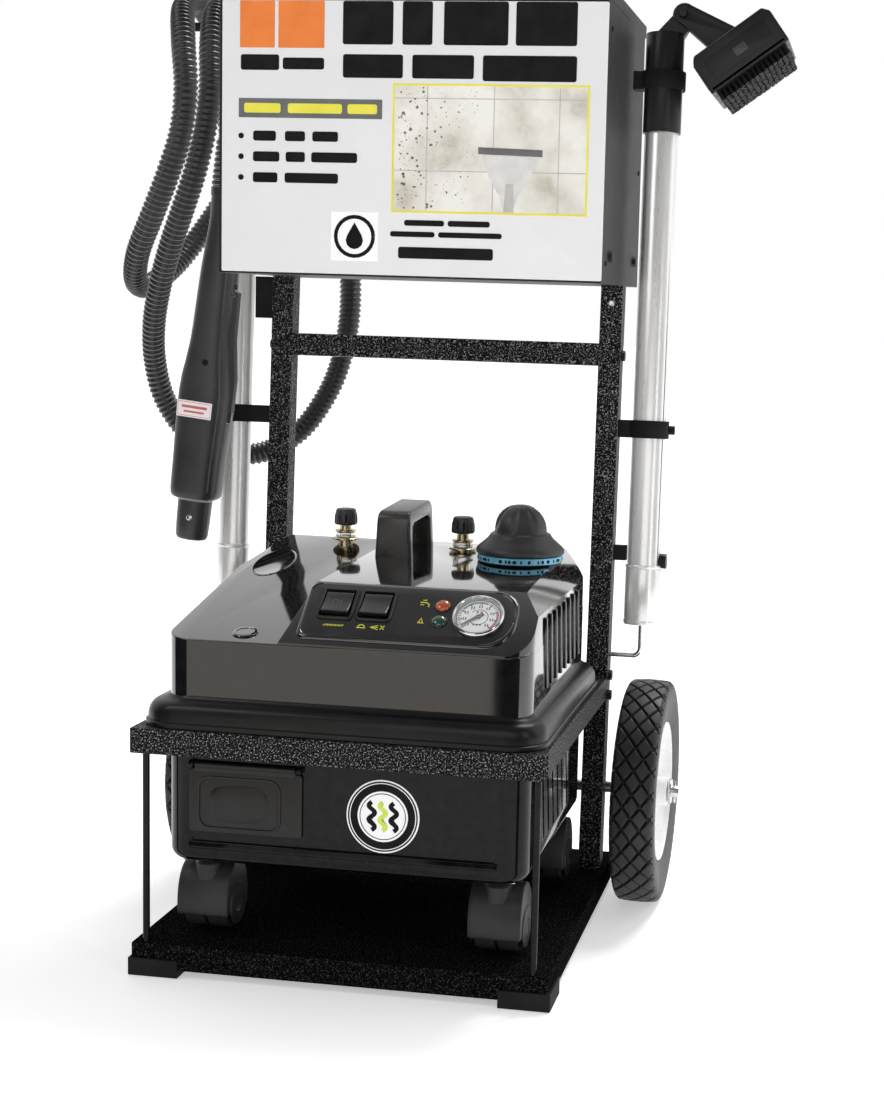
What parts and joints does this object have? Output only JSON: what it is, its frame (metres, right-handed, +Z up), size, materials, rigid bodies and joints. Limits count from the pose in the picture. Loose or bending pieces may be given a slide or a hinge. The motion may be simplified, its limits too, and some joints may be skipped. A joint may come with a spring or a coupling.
{
  "type": "steam cleaner",
  "caption": "Commercial steam cleaner on casters in a two-wheeled cart with an accessory box, wand tubes, a handset and its hose.",
  "frame": {"origin": "middle of the overall width and depth, at the floor, without the hose", "axes": "+Z up, front towards -Y, +X to the right seen from the front"},
  "size_m": [0.7568, 0.578, 1.0592],
  "materials": {
    "cart_black": "satin",
    "foot_rubber": "matte",
    "steel": "satin",
    "wire": "gloss",
    "box_paint": "satin",
    "sign": "satin",
    "tyre": "matte",
    "rim_white": "gloss",
    "shell_black": "gloss",
    "panel_black": "satin",
    "handle_black": "gloss",
    "bezel": "gloss",
    "lens": "gloss",
    "needle": "matte",
    "lamp_red": "gloss",
    "switch_black": "gloss",
    "brass": "satin",
    "knob_black": "satin",
    "neck_blue": "satin",
    "caster_black": "satin",
    "caster_tread": "matte",
    "wand_alu": "satin",
    "tool_black": "satin",
    "bristle": "matte",
    "handset_black": "satin",
    "hose_black": "satin"
  },
  "bodies": {
    "cart": {"base_tray": "cart_black", "front_feet": "foot_rubber", "front_rail": "cart_black", "side_rails": "cart_black", "rail_rods": "steel", "uprights": "cart_black", "cross_bars": "cart_black", "push_handle": "cart_black", "axle": "steel", "box_shell": "box_paint", "sign_panel": "sign", "lid_hinge_pin": "steel", "wand_clips": "cart_black", "wand_hooks": "wire", "hose_hook": "cart_black", "frame_bolts": "steel", "lower_shell": "shell_black", "top_cover": "shell_black", "control_panel": "panel_black", "carry_handle": "handle_black", "gauge_case": "bezel", "gauge_lens": "lens", "indicator_lamps": "lamp_red", "valve_bodies": "brass", "filler_neck": "neck_blue", "steam_socket": "brass", "boiler": "steel", "heating_element": "brass", "solenoid_valve": "brass", "cord_gland": "panel_black", "handset_shell": "handset_black", "hose": "hose_black", "steam_plug": "tool_black"},
    "left_wheel": {"left_tyre": "tyre", "left_rim": "rim_white"},
    "right_wheel": {"right_tyre": "tyre", "right_rim": "rim_white"},
    "power_rocker": {"power_switch": "switch_black"},
    "steam_rocker": {"steam_switch": "switch_black"},
    "needle": {"gauge_needle": "needle"},
    "left_knob": {"left_valve_knob": "knob_black"},
    "right_knob": {"right_valve_knob": "knob_black"},
    "cap": {"boiler_cap": "knob_black"},
    "flap": {"socket_flap": "shell_black"},
    "trigger": {"handset_trigger": "handset_black"},
    "left_wand": {"left_wand_tube": "wand_alu"},
    "right_wand": {"right_wand_tube": "wand_alu", "wand_neck": "tool_black"},
    "lock_button": {"wand_button": "tool_black"},
    "brush": {"brush_head": "tool_black", "brush_bristles": "bristle"},
    "lid": {"box_lid": "box_paint"},
    "caster_1_fork": {"caster_1_hood": "caster_black"},
    "caster_1_roller": {"caster_1_wheel": "caster_tread"},
    "caster_2_fork": {"caster_2_hood": "caster_black"},
    "caster_2_roller": {"caster_2_wheel": "caster_tread"},
    "caster_3_fork": {"caster_3_hood": "caster_black"},
    "caster_3_roller": {"caster_3_wheel": "caster_tread"},
    "caster_4_fork": {"caster_4_hood": "caster_black"},
    "caster_4_roller": {"caster_4_wheel": "caster_tread"}
  },
  "joints": [
    {"name": "left_wheel_spin", "type": "hinge", "parent": "cart", "child": "left_wheel", "pos_m": [-0.29118, 0.092, 0.127], "axis": [1, 0, 0], "continuous": true},
    {"name": "right_wheel_spin", "type": "hinge", "parent": "cart", "child": "right_wheel", "pos_m": [0.21682, 0.092, 0.127], "axis": [1, 0, 0], "continuous": true},
    {"name": "power_rock", "type": "hinge", "parent": "cart", "child": "power_rocker", "pos_m": [-0.05318, -0.22348, 0.37329], "axis": [1, 0, 0], "range_deg": [0, 14]},
    {"name": "steam_rock", "type": "hinge", "parent": "cart", "child": "steam_rocker", "pos_m": [-0.01418, -0.22348, 0.37329], "axis": [1, 0, 0], "range_deg": [0, 14]},
    {"name": "needle_turn", "type": "hinge", "parent": "cart", "child": "needle", "pos_m": [0.08982, -0.23347, 0.37291], "axis": [0, -0.6293, 0.7771], "range_deg": [-240, 20]},
    {"name": "left_knob_turn", "type": "hinge", "parent": "cart", "child": "left_knob", "pos_m": [-0.12518, 0.03, 0.4254], "axis": [0, 0, 1], "range_deg": [0, 270]},
    {"name": "right_knob_turn", "type": "hinge", "parent": "cart", "child": "right_knob", "pos_m": [0.01582, 0.006, 0.4254], "axis": [0, 0, 1], "range_deg": [0, 270]},
    {"name": "cap_lift", "type": "slide", "parent": "cart", "child": "cap", "axis": [0, 0, 1], "range_m": [0, 0.045]},
    {"name": "flap_turn", "type": "hinge", "parent": "cart", "child": "flap", "pos_m": [-0.03718, -0.272, 0.22], "axis": [1, 0, 0], "range_deg": [-100, 0]},
    {"name": "trigger_pull", "type": "hinge", "parent": "cart", "child": "trigger", "pos_m": [-0.26625, 0.055, 0.67701], "axis": [0, 1, 0], "range_deg": [0, 5], "stiffness_Nm_per_rad": 0.4, "springref_deg": -17.19},
    {"name": "left_wand_lift", "type": "slide", "parent": "cart", "child": "left_wand", "axis": [0, 0.0628, 0.998], "range_m": [0, 0.045]},
    {"name": "right_wand_lift", "type": "slide", "parent": "cart", "child": "right_wand", "axis": [0, 0.0628, 0.998], "range_m": [0, 0.045]},
    {"name": "lock_press", "type": "slide", "parent": "right_wand", "child": "lock_button", "axis": [-1, 0, 0], "range_m": [0, 0.003], "stiffness_N_per_m": 800, "springref_m": -0.002},
    {"name": "brush_pivot", "type": "hinge", "parent": "right_wand", "child": "brush", "pos_m": [0.22482, 0.14733, 1.003], "axis": [0, 1, 0], "range_deg": [-60, 4]},
    {"name": "lid_hinge", "type": "hinge", "parent": "cart", "child": "lid", "pos_m": [-0.03718, 0.225, 1.001], "axis": [1, 0, 0], "range_deg": [-95, 0]},
    {"name": "caster_1_swivel", "type": "hinge", "parent": "cart", "child": "caster_1_fork", "pos_m": [-0.18518, -0.229, 0.118], "axis": [0, 0, 1], "continuous": true},
    {"name": "caster_1_roll", "type": "hinge", "parent": "caster_1_fork", "child": "caster_1_roller", "pos_m": [-0.18518, -0.216, 0.063], "axis": [1, 0, 0], "continuous": true},
    {"name": "caster_2_swivel", "type": "hinge", "parent": "cart", "child": "caster_2_fork", "pos_m": [0.11482, -0.229, 0.118], "axis": [0, 0, 1], "continuous": true},
    {"name": "caster_2_roll", "type": "hinge", "parent": "caster_2_fork", "child": "caster_2_roller", "pos_m": [0.11482, -0.216, 0.063], "axis": [1, 0, 0], "continuous": true},
    {"name": "caster_3_swivel", "type": "hinge", "parent": "cart", "child": "caster_3_fork", "pos_m": [-0.18518, 0.007, 0.118], "axis": [0, 0, 1], "continuous": true},
    {"name": "caster_3_roll", "type": "hinge", "parent": "caster_3_fork", "child": "caster_3_roller", "pos_m": [-0.18518, 0.02, 0.063], "axis": [1, 0, 0], "continuous": true},
    {"name": "caster_4_swivel", "type": "hinge", "parent": "cart", "child": "caster_4_fork", "pos_m": [0.11482, 0.007, 0.118], "axis": [0, 0, 1], "continuous": true},
    {"name": "caster_4_roll", "type": "hinge", "parent": "caster_4_fork", "child": "caster_4_roller", "pos_m": [0.11482, 0.02, 0.063], "axis": [1, 0, 0], "continuous": true}
  ]
}
